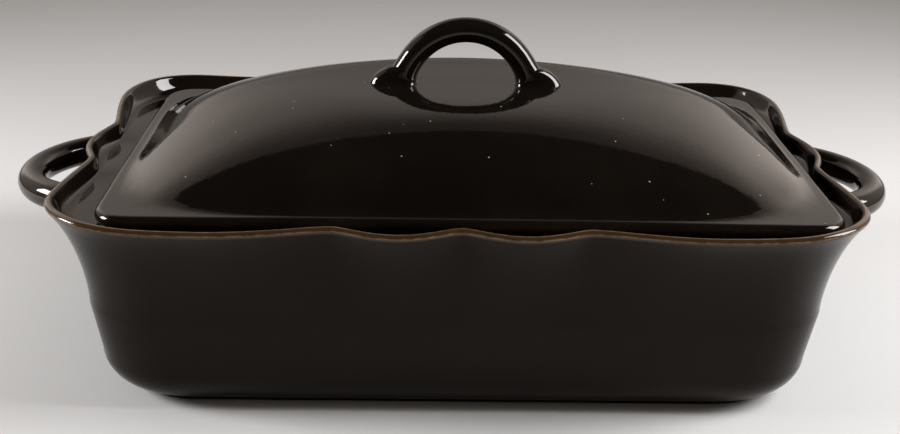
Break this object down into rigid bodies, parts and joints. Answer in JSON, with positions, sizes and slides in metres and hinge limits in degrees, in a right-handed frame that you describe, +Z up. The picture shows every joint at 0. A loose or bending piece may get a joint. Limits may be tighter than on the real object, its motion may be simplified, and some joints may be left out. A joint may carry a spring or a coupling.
{
  "type": "covered baking dish",
  "caption": "Rectangular covered baking dish in dark brown glazed ceramic, with a lobed rim, a loop handle at each end and a domed lid with an arched handle.",
  "frame": {"origin": "on the surface the dish stands on, under the middle of the dish", "axes": "+X along the dish's long side to the right, +Y to the back, +Z up"},
  "size_m": [0.4534, 0.2526, 0.1686],
  "materials": {
    "dish_glaze": "glossy dark brown glaze, breaking to lighter brown on the lip",
    "lid_glaze": "glossy dark brown glaze"
  },
  "bodies": {
    "root": {"dish": "dish_glaze", "lid": "lid_glaze"}
  },
  "joints": []
}
